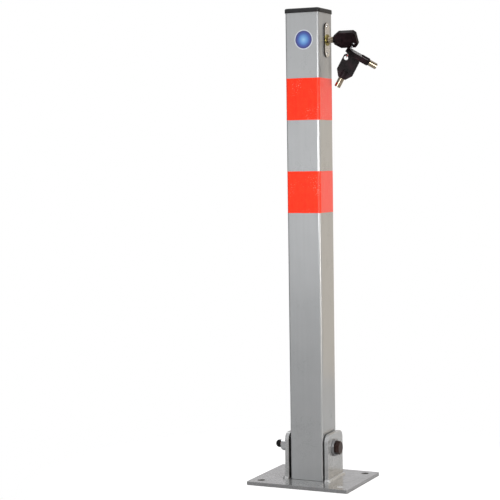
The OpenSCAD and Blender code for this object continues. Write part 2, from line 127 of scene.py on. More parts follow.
class NodeBench:
    """One node tree, with the few calls that the finishes are written in."""

    def __init__(self, tree: bpy.types.NodeTree) -> None:
        """Takes the node tree of a material or of the world, and starts it empty."""
        self.tree = tree
        tree.nodes.clear()

    def node(
        self,
        kind: str,
        settings: dict | None = None,
        sockets: dict | None = None,
        output: int | str = 0,
    ) -> "Signal":
        """Adds any node.

        Args:
            kind: The node's type.
            settings: Its settings, which are set first; "stops" fills a colour ramp.
            sockets: Values or links of its inputs, by name or number.
            output: The output that is handed back, by name or number.

        Returns:
            The signal that leaves the node.
        """
        made = self.tree.nodes.new(kind)
        for name, value in (settings or {}).items():
            if name == "stops":
                self._fill_ramp(made.color_ramp, value)
            else:
                setattr(made, name, value)
        for name, value in (sockets or {}).items():
            socket = made.inputs[name]
            if isinstance(value, Signal):
                self.tree.links.new(value.socket, socket)
            elif isinstance(value, (tuple, list)) and socket.type == "RGBA":
                socket.default_value = (*value, 1.0)
            else:
                socket.default_value = value
        return Signal(self, made.outputs[output] if len(made.outputs) else None)

    @staticmethod
    def _fill_ramp(ramp: bpy.types.ColorRamp, stops: Sequence[tuple[float, Colour]]) -> None:
        """Fills a colour ramp.

        Args:
            ramp: The ramp, as it comes with two stops.
            stops: Place and colour of each stop.
        """
        while len(ramp.elements) < len(stops):
            ramp.elements.new(0.5)
        for element, (place, colour) in zip(ramp.elements, stops):
            element.position = place
            element.color = (*colour, 1.0)

    def vector(self, operation: str, first: "Signal", second: Point = (0, 0, 0)) -> "Signal":
        """Adds one Vector Math node."""
        return self.node("ShaderNodeVectorMath", {"operation": operation}, {0: first, 1: second})

    def length(self, way: "Signal") -> "Signal":
        """The length of a vector."""
        return self.node("ShaderNodeVectorMath", {"operation": "LENGTH"}, {0: way}, "Value")

    def place(
        self, stretch: Point = (1, 1, 1), shift: Point = (0, 0, 0), turn: Point = (0, 0, 0)
    ) -> "Signal":
        """Object coordinates, first stretched, then turned and at last shifted.

        Args:
            stretch: Scale along each axis.
            shift: Shift in metres.
            turn: Turn about each axis in degrees.

        Returns:
            The coordinates.
        """
        here = self.node("ShaderNodeTexCoord", output="Object")
        return self.node(
            "ShaderNodeMapping",
            {"vector_type": "POINT"},
            {
                "Vector": here,
                "Location": shift,
                "Rotation": tuple(math.radians(a) for a in turn),
                "Scale": stretch,
            },
        )

    def around(self, centre: Point) -> "Signal":
        """Object coordinates, counted from a centre."""
        return self.place(shift=tuple(-c for c in centre))

    def along(self, axis: Axis) -> "Signal":
        """One of the three object coordinates."""
        return self.node("ShaderNodeSeparateXYZ", sockets={0: self.place()}, output=axis.value)

    def grain(self, size: float, detail: float = 2.0, where: "Signal | None" = None) -> "Signal":
        """Soft noise from 0 to 1.

        Args:
            size: Size of its features in metres, or in the stretched coordinates' unit.
            detail: Octaves of finer noise.
            where: Coordinates, or None for the object's own.

        Returns:
            The noise.
        """
        return self.node(
            "ShaderNodeTexNoise",
            {"noise_dimensions": "3D"},
            {
                "Vector": where or self.place(),
                "Scale": 1 / size,
                "Detail": detail,
                "Roughness": 0.55,
            },
        )

    def specks(self, size: float) -> "Signal":
        """A random level from 0 to 1 in each small cell, as metal flake has.

        Args:
            size: Width of a cell in metres.

        Returns:
            The level.
        """
        cells = self.node(
            "ShaderNodeTexVoronoi",
            {"feature": "F1"},
            {"Vector": self.place(), "Scale": 1 / size},
            output="Color",
        )
        return self.node("ShaderNodeSeparateColor", sockets={"Color": cells})

    def between(
        self, factor: "Signal | float", first: "Signal | Colour", second: "Signal | Colour"
    ) -> "Signal":
        """A colour between two.

        Args:
            factor: 0 gives the first and 1 the second.
            first: The one colour, or a signal that carries it.
            second: The other.

        Returns:
            The mixed colour.
        """
        return self.node(
            "ShaderNodeMix",
            {"data_type": "RGBA", "blend_type": "MIX", "clamp_factor": True},
            {0: factor, 6: first, 7: second},
            output=2,
        )

    def relief(self, height: "Signal", depth: float) -> "Signal":
        """A relief for a shader's Normal, in which a height of 1 stands for depth in metres."""
        return self.node("ShaderNodeBump", sockets={"Height": height, "Distance": depth})

    def surface(self, sockets: dict) -> None:
        """Ends a material in a Principled shader with these values or links of its inputs."""
        self.shown(self.node("ShaderNodeBsdfPrincipled", sockets=sockets))

    def shown(self, shader: "Signal") -> None:
        """Ends a material in any shader."""
        self.node("ShaderNodeOutputMaterial", sockets={"Surface": shader})


@dataclass(frozen=True)
class Signal:
    """A number or colour that runs from one node to the next."""

    bench: NodeBench
    socket: bpy.types.NodeSocket | None

    def _math(self, operation: str, first: "Signal | float", second: "Signal | float") -> "Signal":
        """Adds one Math node."""
        return self.bench.node("ShaderNodeMath", {"operation": operation}, {0: first, 1: second})

    def __add__(self, other: "Signal | float") -> "Signal":
        """Adds."""
        return self._math("ADD", self, other)

    __radd__ = __add__

    def __mul__(self, other: "Signal | float") -> "Signal":
        """Multiplies."""
        return self._math("MULTIPLY", self, other)

    __rmul__ = __mul__

    def __sub__(self, other: "Signal | float") -> "Signal":
        """Takes away."""
        return self._math("SUBTRACT", self, other)

    def __rsub__(self, other: float) -> "Signal":
        """Takes this from a number."""
        return self._math("SUBTRACT", other, self)

    def larger(self, other: "Signal | float") -> "Signal":
        """The larger of the two."""
        return self._math("MAXIMUM", self, other)

    def size(self) -> "Signal":
        """Its size, without its sign."""
        return self._math("ABSOLUTE", self, 0.0)

    def swing(self, reach: float) -> "Signal":
        """A level from 0 to 1 as a swing about 0, which is reach wide."""
        return (self - 0.5) * reach

    def step(self, low: float, high: float) -> "Signal":
        """A smooth step.

        Args:
            low: Where it starts to rise from 0.
            high: Where it has reached 1; below low, it falls instead.

        Returns:
            The step, from 0 to 1.
        """
        return self.bench.node(
            "ShaderNodeMapRange",
            {"interpolation_type": "SMOOTHSTEP", "clamp": True},
            {"Value": self, "From Min": low, "From Max": high, "To Min": 0.0, "To Max": 1.0},
        )


# Patches: places on a piece with another colour, from dust or from painted shade and painted
# highlights


@dataclass(frozen=True)
class Patch:
    """What every patch has: a colour, and where it shows."""

    colour: Colour

    def mask(self, bench: NodeBench) -> Signal:
        """How much of the patch shows, from 0 to 1."""
        raise NotImplementedError

    def over(self, bench: NodeBench, base: Signal) -> Signal:
        """The colour of a surface, with the patch on it."""
        return bench.between(self.mask(bench), base, self.colour)


@dataclass(frozen=True)
class Dust(Patch):
    """Dust that has settled near the ground, in soft spots."""

    amount: float = 0.25
    top: float = 90 * MM
    foot: float = 4 * MM
    spot: float = 20 * MM

    def mask(self, bench: NodeBench) -> Signal:
        """Most at the foot, and none above the top."""
        settled = bench.along(Axis.Z).step(self.top, self.foot)
        return settled * bench.grain(self.spot, 5.0).step(0.35, 0.75) * self.amount


@dataclass(frozen=True)
class PaintedGapShade(Patch):
    """Painted shade in the gap where the post and the ears face each other, darker in uneven spots.

    The side is the distance from the middle plane at which it starts, and at which it is full.
    """

    side: tuple[float, float]
    top: float
    fade: float = 14 * MM
    foot: tuple[float, float] = (5.1 * MM, 5.6 * MM)
    spot: float = 8 * MM
    least: float = 0.55
    spotted: float = 0.75

    def mask(self, bench: NodeBench) -> Signal:
        """The painted shade in the gap, with a soft upper end and uneven spots.

        Args:
            bench: The bench that the finish is drawn on.

        Returns:
            The mask.
        """
        beside = bench.along(Axis.X).size().step(*self.side)
        height = bench.along(Axis.Z)
        below = height.step(self.top, self.top - self.fade) * height.step(*self.foot)
        return beside * below * (self.least + bench.grain(self.spot, 4.0) * self.spotted)


@dataclass(frozen=True)
class PaintedHoleHighlightAndShade(Patch):
    """Painted light on the walls of the plate's four holes: a painted highlight in the front right
    one, painted shade in the other three.
    """

    bright: Colour
    centre: tuple[float, float]
    radius: float
    margin: float = 0.15 * MM

    def mask(self, bench: NodeBench) -> Signal:
        """The walls of all four.

        Args:
            bench: The bench that the finish is drawn on.

        Returns:
            The mask.
        """
        folded = bench.vector("ABSOLUTE", bench.place())
        apart = bench.vector("SUBTRACT", folded, (*self.centre, 0.0))
        out = bench.length(bench.vector("MULTIPLY", apart, (1.0, 1.0, 0.0)))
        return out.step(self.radius + self.margin, self.radius)

    def over(self, bench: NodeBench, base: Signal) -> Signal:
        """The colour of the plate, with the painted highlight and the painted shade on the hole
        walls.

        Args:
            bench: The bench that the finish is drawn on.
            base: The plate's colour.

        Returns:
            The colour.
        """
        # the front right hole's walls get the painted highlight, the other three get the painted
        # shade
        front_right = bench.along(Axis.X).step(0.0, MM) * bench.along(Axis.Y).step(0.0, -MM)
        walls = bench.between(front_right, self.colour, self.bright)
        return bench.between(self.mask(bench), base, walls)


@dataclass(frozen=True)
class PaintedRimShade(Patch):
    """Painted shade on the sheared rim of the plate, which makes its sides darker than its top."""

    half_length: float
    half_width: float
    fade: float = 0.4 * MM
    amount: float = 0.8

    def mask(self, bench: NodeBench) -> Signal:
        """The plate's four sides.

        Args:
            bench: The bench that the finish is drawn on.

        Returns:
            The mask.
        """
        past_end = bench.along(Axis.X).size() - self.half_length
        past_side = bench.along(Axis.Y).size() - self.half_width
        return past_end.larger(past_side).step(-self.fade, 0.0) * self.amount


@dataclass(frozen=True)
class PaintedWallShade(Patch):
    """Painted shade on the stamped wall of an oval plate."""

    centre: Point
    radius: float
    half_straight: float
    inner: float = 0.25 * MM
    outer: float = 0.05 * MM

    def mask(self, bench: NodeBench) -> Signal:
        """The wall, and nothing of the face inside it.

        Args:
            bench: The bench that the finish is drawn on.

        Returns:
            The mask.
        """
        sides = bench.vector("ABSOLUTE", bench.around(self.centre))
        # A whole metre off X keeps it out of the length, once what is below 0 is cut.
        past = bench.vector("SUBTRACT", sides, (1.0, 0.0, self.half_straight))
        out = bench.length(bench.vector("MAXIMUM", past))
        return out.step(self.radius - self.inner, self.radius - self.outer)


# Finishes


class Finish:
    """What every finish has: a material made from its nodes."""

    def draw(self, bench: NodeBench) -> None:
        """Adds the finish's nodes to an empty bench."""
        raise NotImplementedError

    def material(self, name: str) -> bpy.types.Material:
        """Makes the material.

        Args:
            name: Its name.

        Returns:
            The material.
        """
        made = bpy.data.materials.new(name)
        made.use_nodes = True
        self.draw(NodeBench(made.node_tree))
        return made


@dataclass(frozen=True)
class SilverPaint(Finish):
    """Sprayed silver paint: metal flake under a thin gloss, with a little orange peel."""

    dark: Colour
    light: Colour
    roughness: float = 0.32
    metallic: float = 0.36
    coat: float = 0.8
    gloss: float = 0.1
    flake: float = 0.22
    flake_size: float = 0.35 * MM
    cloud: float = 0.5
    cloud_size: float = 60 * MM
    mark: float = 0.35
    mark_stretch: Point = (260, 260, 9)
    peel: float = 0.03 * MM
    peel_fine: float = 1.6 * MM
    peel_broad: float = 9 * MM
    patches: tuple[Patch, ...] = ()

    def draw(self, bench: NodeBench) -> None:
        """Flake, clouds of tone, fine upright marks from drawing the tube, patches and peel.

        Args:
            bench: The empty bench.
        """
        flakes = bench.specks(self.flake_size)
        clouds = bench.grain(self.cloud_size, 4.0)
        marks = bench.grain(1.0, 3.0, bench.place(stretch=self.mark_stretch))
        tone = 0.5 + flakes.swing(self.flake) + clouds.swing(self.cloud) + marks.swing(self.mark)
        colour = bench.between(tone, self.dark, self.light)
        for patch in self.patches:
            colour = patch.over(bench, colour)
        peel = bench.grain(self.peel_fine) * 0.8 + bench.grain(self.peel_broad, 1.0) * 1.6
        bench.surface(
            {
                "Base Color": colour,
                "Metallic": self.metallic,
                "Roughness": clouds.swing(0.12) + flakes.swing(0.08) + self.roughness,
                "Coat Weight": self.coat,
                "Coat Roughness": self.gloss,
                "Normal": bench.relief(peel, self.peel),
            }
        )


@dataclass(frozen=True)
class PlatedMetal(Finish):
    """Bright or dull plated metal with fine scratches, tarnish and drawing marks."""

    dark: Colour
    light: Colour
    roughness: float = 0.25
    scratch: float = 0.012 * MM
    tarnish: float = 0.5
    tarnish_size: float = 6 * MM
    speck_size: float = 0.9 * MM
    drawn_size: float = 0.6 * MM
    along: Point = (1, 1, 1)
    crossed_size: float = 0.5 * MM
    across: Point = (1, 6, 0.6)
    across_turn: Point = (24, 37, 11)
    patches: tuple[Patch, ...] = ()

    def draw(self, bench: NodeBench) -> None:
        """Tarnish clouds in the colour, patches, and scratches in the relief and the gloss.

        Args:
            bench: The empty bench.
        """
        clouds = bench.grain(self.tarnish_size, 5.0)
        specks = bench.grain(self.speck_size, 3.0)
        drawn = bench.grain(self.drawn_size, where=bench.place(stretch=self.along))
        crossing = bench.place(stretch=self.across, turn=self.across_turn)
        crossed = bench.grain(self.crossed_size, where=crossing)
        tone = 0.5 + clouds.swing(self.tarnish * 1.6) + specks.swing(0.3)
        colour = bench.between(tone, self.dark, self.light)
        for patch in self.patches:
            colour = patch.over(bench, colour)
        bench.surface(
            {
                "Base Color": colour,
                "Metallic": 1.0,
                "Roughness": clouds.swing(0.2) + drawn.swing(0.14) + self.roughness,
                "Normal": bench.relief(drawn + crossed, self.scratch),
            }
        )


@dataclass(frozen=True)
class MouldedPlastic(Finish):
    """Moulded or painted plastic with a fine grain and rubbed places."""

    dark: Colour
    light: Colour
    roughness: float = 0.38
    shine: float = 0.22
    rubbed_size: float = 11 * MM
    grain_size: float = 0.5 * MM
    grain_depth: float = 0.02 * MM
    flow_stretch: Point = (220, 60, 60)

    def draw(self, bench: NodeBench) -> None:
        """Grain in the relief, and rubbed places in the gloss and the tone.

        Args:
            bench: The empty bench.
        """
        rubbed = bench.grain(self.rubbed_size, 4.0)
        grain = bench.grain(self.grain_size)
        flow = bench.grain(1.0, where=bench.place(stretch=self.flow_stretch))
        tone = rubbed.step(0.35, 0.8) * 0.7 + grain.swing(0.4) + flow.swing(0.3)
        bench.surface(
            {
                "Base Color": bench.between(tone, self.dark, self.light),
                "Roughness": rubbed.swing(0.18) + grain.swing(0.1) + self.roughness,
                "Specular IOR Level": self.shine,
                "Normal": bench.relief(grain + flow * 0.6, self.grain_depth),
            }
        )


@dataclass(frozen=True)
class ReflectiveTape(Finish):
    """Red reflective film: tiny beads under a clear gloss, faint streaks, and pale specks painted
    as highlights of air bubbles.
    """

    deep: Colour
    bright: Colour
    bubble: Colour
    bead_size: float = 0.5 * MM
    streak_stretch: Point = (420, 420, 14)
    blot_size: float = 8 * MM
    bubble_size: float = 1.5 * MM
    bubble_limit: tuple[float, float] = (0.63, 0.71)
    cluster_size: float = 30 * MM
    cluster_limit: tuple[float, float] = (0.5, 0.6)
    glint_paleness: float = 0.42
    ripple_fine: float = 4 * MM
    ripple_broad: float = 20 * MM
    ripple_depth: float = 0.06 * MM
    sheen_tint: Colour = (1.0, 0.9, 0.88)

    def draw(self, bench: NodeBench) -> None:
        """Beads, streaks and painted bubble highlights in the tone, and a soft ripple in the
        relief.

        Args:
            bench: The empty bench.
        """
        beads = bench.specks(self.bead_size)
        streaks = bench.grain(1.0, 3.0, bench.place(stretch=self.streak_stretch))
        blots = bench.grain(self.blot_size, 3.0)
        tone = 0.5 + beads.swing(0.45) + streaks.swing(0.6) + blots.swing(0.7)
        film = bench.between(tone, self.deep, self.bright)
        clusters = bench.grain(self.cluster_size).step(*self.cluster_limit)
        # pale specks: a painted highlight where small air bubbles catch the light
        bubbles = bench.grain(self.bubble_size, 1.0).step(*self.bubble_limit) * clusters
        ripple = bench.grain(self.ripple_fine, 3.0) + bench.grain(self.ripple_broad) * 3
        bench.surface(
            {
                "Base Color": bench.between(bubbles * self.glint_paleness, film, self.bubble),
                "Roughness": blots.swing(0.15) + beads.swing(0.1) + 0.4,
                "Specular IOR Level": 0.15,
                "Coat Weight": 0.2,
                "Coat Roughness": 0.14,
                "Sheen Weight": 0.9,
                "Sheen Roughness": 0.35,
                "Sheen Tint": self.sheen_tint,
                "Normal": bench.relief(ripple + beads * 0.12, self.ripple_depth),
            }
        )


@dataclass(frozen=True)
class RoundLabel(Finish):
    """A plain printed disc: a pale rim round a blue field that is lighter towards the middle."""

    centre: Point
    radius: float
    stops: tuple[tuple[float, Colour], ...]
    bleached: Colour = shade(210, 225, 245)
    print_size: float = 0.4 * MM
    print_depth: float = 0.01 * MM
    wander_size: float = 6 * MM

    def draw(self, bench: NodeBench) -> None:
        """Rings of colour about the disc's centre, a little print grain, and a clear gloss.

        Args:
            bench: The empty bench.
        """
        out = bench.length(bench.vector("MULTIPLY", bench.around(self.centre), (1.0, 0.0, 1.0)))
        print_grain = bench.grain(self.print_size)
        wander = bench.grain(self.wander_size, 3.0).swing(0.05)
        rings = bench.node(
            "ShaderNodeValToRGB", {"stops": self.stops}, {"Fac": out * (1 / self.radius) + wander}
        )
        bench.surface(
            {
                "Base Color": bench.between(print_grain.swing(0.5), rings, self.bleached),
                "Roughness": print_grain.swing(0.1) + 0.3,
                "Coat Weight": 0.6,
                "Coat Roughness": 0.1,
                "Normal": bench.relief(print_grain, self.print_depth),
            }
        )


@dataclass(frozen=True)
class PaleFloor(Finish):
    """A white floor that keeps the soft shadow near the post and runs out into the white."""

    near: float = 0.16
    far: float = 0.42
    mirrored_near: float = 1.2
    mirrored_far: float = 4.0
    paint: Colour = (0.92, 0.92, 0.92)
    lift: float = 0.62

    def draw(self, bench: NodeBench) -> None:
        """Matt white near the post, and the plain white of the backdrop away from it.

        Args:
            bench: The empty bench.
        """
        seen = bench.node("ShaderNodeLightPath", output="Is Camera Ray")
        mirrored = bench.node("ShaderNodeLightPath", output="Is Glossy Ray")
        out = bench.length(bench.place())
        matt = bench.node(
            "ShaderNodeBsdfPrincipled",
            sockets={
                "Base Color": self.paint,
                "Roughness": 0.9,
                "Specular IOR Level": 0.1,
                "Emission Color": bench.between(seen, BLACK, WHITE),
                "Emission Strength": self.lift,
            },
        )
        white = bench.node("ShaderNodeEmission", sockets={"Color": WHITE, "Strength": 1.0})
        blank = (out.step(self.near, self.far) * seen).larger(
            out.step(self.mirrored_near, self.mirrored_far) * mirrored
        )
        bench.shown(bench.node("ShaderNodeMixShader", sockets={0: blank, 1: matt, 2: white}))


@dataclass(frozen=True)
class LitCard(Finish):
    """A lit card, as it shows in a reflection."""

    colour: Colour
    uneven: float = 0.2
    cloud_size: float = 0.4

    def draw(self, bench: NodeBench) -> None:
        """Its colour, a little uneven.

        Args:
            bench: The empty bench.
        """
        clouds = bench.grain(self.cloud_size, 1.0) * self.uneven
        tone = bench.between(clouds, self.colour, BLACK)
        bench.shown(bench.node("ShaderNodeEmission", sockets={"Color": tone}))


class Palette:
    """All the finishes of the barrier, each made once."""

    def __init__(self, label_centre: Point, label_radius: float) -> None:
        """Makes the materials.

        Args:
            label_centre: Centre of the round label, which its rings are drawn about.
            label_radius: Its radius.
        """
        plate_patches = (
            Dust(shade(120, 116, 108)),
            # painted shade on the inner faces of the ears, in the gap beside the post
            PaintedGapShade(shade(40, 38, 37), (27.6 * MM, 27.2 * MM), 90 * MM),
            # painted shade on three hole walls, and a painted highlight on the front right one
            PaintedHoleHighlightAndShade(
                shade(138, 136, 134), shade(244, 244, 244), (60 * MM, 47 * MM), 5.25 * MM
            ),
            # painted shade on the plate's four sides
            PaintedRimShade(shade(128, 128, 130), 75.9 * MM, 62.9 * MM),
        )
        label_rings = (
            (0.0, shade(150, 200, 236)),
            (0.35, shade(92, 150, 214)),
            (0.62, shade(52, 84, 170)),
            (0.86, shade(44, 40, 120)),
            (0.90, shade(36, 34, 100)),
            (0.92, shade(214, 220, 230)),
        )
        finishes: dict[Slot, Finish] = {
            Slot.POST_PAINT: SilverPaint(
                shade(160, 162, 164),
                shade(184, 186, 188),
                # painted shade low on the tube's sides, in the gap between the ears
                patches=(PaintedGapShade(shade(74, 72, 70), (23.9 * MM, 24.7 * MM), 68 * MM),),
            ),
            Slot.BASE_PAINT: SilverPaint(
                shade(168, 169, 170),
                shade(195, 196, 197),
                roughness=0.26,
                coat=0.9,
                gloss=0.06,
                patches=plate_patches,
            ),
            Slot.WELD_PAINT: SilverPaint(
                shade(176, 177, 178), shade(208, 209, 210), roughness=0.26, coat=0.6, peel=0.06 * MM
            ),
            Slot.BLACK_BOLT: PlatedMetal(
                shade(44, 35, 33), shade(92, 74, 70), roughness=0.32, tarnish=0.8
            ),
            Slot.SPACER_STEEL: PlatedMetal(
                shade(130, 130, 132), shade(176, 177, 179), roughness=0.36
            ),
            Slot.ZINC_STEEL: PlatedMetal(
                shade(160, 161, 163), shade(212, 213, 215), roughness=0.2
            ),
            Slot.BLACK_CAP: MouldedPlastic(
                shade(5, 4, 5), shade(12, 11, 12), roughness=0.24, shine=0.18
            ),
            Slot.WASHER_NYLON: MouldedPlastic(shade(38, 38, 40), shade(60, 60, 62), roughness=0.5),
            Slot.BARE_STEEL: PlatedMetal(
                shade(128, 130, 134),
                shade(176, 178, 182),
                roughness=0.42,
                tarnish=0.9,
                along=(0.9, 0.9, 0.03),
            ),
            Slot.BLACK_PLASTIC: MouldedPlastic(
                shade(26, 26, 28),
                shade(46, 46, 49),
                roughness=0.42,
                grain_depth=0.04 * MM,
                shine=0.35,
            ),
            # the pale bubble colour of the film is a painted highlight
            Slot.RED_TAPE: ReflectiveTape(
                shade(255, 36, 8), shade(255, 66, 32), bubble=shade(255, 190, 170)
            ),
            Slot.STICKER: RoundLabel(label_centre, label_radius, label_rings),
            Slot.LOCK_NICKEL: PlatedMetal(
                shade(226, 225, 223),
                shade(253, 252, 250),
                roughness=0.26,
                along=(1, 1, 0.05),
                patches=(
                    # painted shade on the lock plate's stamped wall
                    PaintedWallShade(shade(46, 42, 40), (0.0, 3 * MM, 620.5 * MM), 9 * MM, 15 * MM),
                ),
            ),
            Slot.LOCK_BRASS: PlatedMetal(
                shade(104, 96, 44), shade(192, 178, 106), roughness=0.2, tarnish=0.8
            ),
            Slot.KEY_NICKEL: PlatedMetal(
                shade(112, 97, 82),
                shade(196, 184, 164),
                roughness=0.05,
                tarnish=0.7,
                scratch=0.003 * MM,
                along=(0.06, 1, 1),
            ),
            Slot.KEY_PLASTIC: MouldedPlastic(
                shade(12, 7, 9), shade(50, 32, 38), roughness=0.36, grain_depth=0.03 * MM, shine=0.1
            ),
            Slot.RING_STEEL: PlatedMetal(
                shade(188, 190, 194), shade(230, 231, 234), roughness=0.16
            ),
        }
        self._made = {slot: finish.material(slot.value) for slot, finish in finishes.items()}

    def __getitem__(self, slot: Slot) -> bpy.types.Material:
        """The material of a slot."""
        return self._made[slot]


# Making pieces


def added(name: str, data: bpy.types.ID) -> bpy.types.Object:
    """Adds an object to the scene.

    Args:
        name: Its name.
        data: Its mesh, lamp or camera.

    Returns:
        The object.
    """
    made = bpy.data.objects.new(name, data)
    bpy.context.scene.collection.objects.link(made)
    return made


def facing(origin: Point | Vector, x_axis: Vector, y_axis: Vector) -> Matrix:
    """A place with the given first two axes.

    Args:
        origin: Where it is.
        x_axis: Direction of its X.
        y_axis: Direction of its Y, square to the first.

    Returns:
        The place.
    """
    x_axis, y_axis = x_axis.normalized(), y_axis.normalized()
    z_axis = x_axis.cross(y_axis)
    turn = Matrix((x_axis, y_axis, z_axis)).transposed().to_4x4()
    return Matrix.Translation(origin) @ turn


def points_in(geometry: Iterable[bmesh.types.BMVert | bmesh.types.BMEdge]) -> list:
    """The points among the geometry that an operator made."""
    return [g for g in geometry if isinstance(g, bmesh.types.BMVert)]


class Blank:
    """A mesh on the bench, which operators shape until it is a piece."""

    MERGED: float = 0.002 * MM
    FLAT: float = math.radians(0.6)

    def __init__(self) -> None:
        """Starts empty."""
        self.bm = bmesh.new()

    @classmethod
    def copied(cls, node: str) -> "Blank":
        """Starts as a merged copy of a CAD node, with its flat faces whole.

        Args:
            node: The node's name.

        Returns:
            The blank.
        """
        blank = cls()
        bm = blank.bm
        bm.from_mesh(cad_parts[node].data)
        bmesh.ops.remove_doubles(bm, verts=bm.verts, dist=cls.MERGED)
        bmesh.ops.dissolve_limit(
            bm, angle_limit=cls.FLAT, verts=bm.verts, edges=bm.edges, delimit=set()
        )
        return blank

    def round_edges(self, width: float, segments: int = 2, sharper: float = 35.0) -> None:
        """Rounds the outer edges.

        Args:
            width: Width of the rounding in metres.
            segments: Facets across it.
            sharper: Only edges that turn by more than this many degrees.
        """
        turn = math.radians(sharper)
        edges = [
            e
            for e in self.bm.edges
            if len(e.link_faces) == 2 and e.is_convex and e.calc_face_angle(0.0) > turn
        ]
        bmesh.ops.bevel(
            self.bm,
            geom=edges,
            offset=width,
            offset_type="OFFSET",
            segments=segments,
            profile=0.5,
            affect="EDGES",
            clamp_overlap=True,
            material=-1,
        )

    def extruded(
        self, row: Sequence[bmesh.types.BMEdge]
    ) -> tuple[list[bmesh.types.BMVert], list[bmesh.types.BMEdge]]:
        """Extrudes a row of edges, and leaves the new row where it was.

        Args:
            row: The edges.

        Returns:
            The new points and the new row.
        """
        grown = bmesh.ops.extrude_edge_only(self.bm, edges=row)["geom"]
        points = points_in(grown)
        edges = [
            g
            for g in grown
            if isinstance(g, bmesh.types.BMEdge) and all(v in points for v in g.verts)
        ]
        return points, edges

    def sweep(self, section: Sequence[tuple[float, float]], stations: Sequence[Matrix]) -> None:
        """Draws a flat section along a row of places, and closes both ends.

        Args:
            section: The section's corners in its own X and Y.
            stations: The place of the section at each step.
        """
        corners = [self.bm.verts.new(stations[0] @ Vector((x, y, 0))) for x, y in section]
        first = [self.bm.edges.new(pair) for pair in zip(corners, corners[1:] + corners[:1])]
        last = first
        for before, after in zip(stations, stations[1:]):
            points, last = self.extruded(last)
            bmesh.ops.transform(self.bm, matrix=after @ before.inverted(), verts=points)
        for loop in (first, last):
            bmesh.ops.contextual_create(self.bm, geom=loop)
        bmesh.ops.recalc_face_normals(self.bm, faces=self.bm.faces)

    def roughen(self, height: float, fineness: float) -> None:
        """Moves each point along its normal by soft noise.

        Args:
            height: The most that it moves, in metres.
            fineness: Bumps of the noise to a metre.
        """
        self.bm.normal_update()
        for vert in self.bm.verts:
            vert.co += vert.normal * (height * noise.noise(vert.co * fineness))

    def mesh(self, name: str, material: bpy.types.Material) -> bpy.types.Mesh:
        """Ends the blank as a mesh.

        Args:
            name: Its name.
            material: Its one material.

        Returns:
            The mesh.
        """
        made = bpy.data.meshes.new(name)
        self.bm.to_mesh(made)
        self.bm.free()
        made.materials.append(material)
        return made


@dataclass
class Assembly:
    """What every sub-assembly has: the palette, and the ways to finish its pieces."""

    palette: Palette

    def build(self) -> None:
        """Makes its pieces."""
        raise NotImplementedError

    def piece(
        self, blank: Blank, name: str, body: Body, slot: Slot, node: str, smooth: float = 38.0
    ) -> None:
        """Turns a blank into a piece of the barrier.

        Args:
            blank: The blank, which is used up.
            name: The piece's name.
            body: The body that it rides on.
            slot: Its finish.
            node: The CAD node that it stands for.
            smooth: Edges that turn by less than this many degrees are shaded smooth.
        """
        mesh = blank.mesh(name, self.palette[slot])
        mesh.polygons.foreach_set("use_smooth", [True] * len(mesh.polygons))
        mesh.set_sharp_from_angle(angle=math.radians(smooth))
        made = added(name, mesh)
        weighted = made.modifiers.new("even_shading", "WEIGHTED_NORMAL")
        weighted.keep_sharp = True
        weighted.weight = 100
        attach(made, body.value)
        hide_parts(node)
        LOG.info("%s: %d faces", name, len(mesh.polygons))

    def soften(
        self,
        node: str,
        body: Body,
        slot: Slot,
        width: float,
        segments: int = 2,
        sharper: float = 35.0,
    ) -> None:
        """Makes a piece from a CAD node, with its outer edges rounded.

        Args:
            node: The node's name; the piece is named after it.
            body: The body that it rides on.
            slot: Its finish.
            width: Width of the rounding in metres.
            segments: Facets across it.
            sharper: Only edges that turn by more than this many degrees.
        """
        blank = Blank.copied(node)
        blank.round_edges(width, segments, sharper)
        self.piece(blank, f"{node}_dressed", body, slot, node)

    def paint(self, node: str, slot: Slot) -> None:
        """Gives a CAD node that keeps its own mesh a better material.

        Args:
            node: The node's name.
            slot: The finish.
        """
        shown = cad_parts[node]
        if not shown.material_slots:
            shown.data.materials.append(self.palette[slot])
        for place in shown.material_slots:
            place.material = self.palette[slot]
        LOG.info("%s: painted", node)


# Sub-assemblies


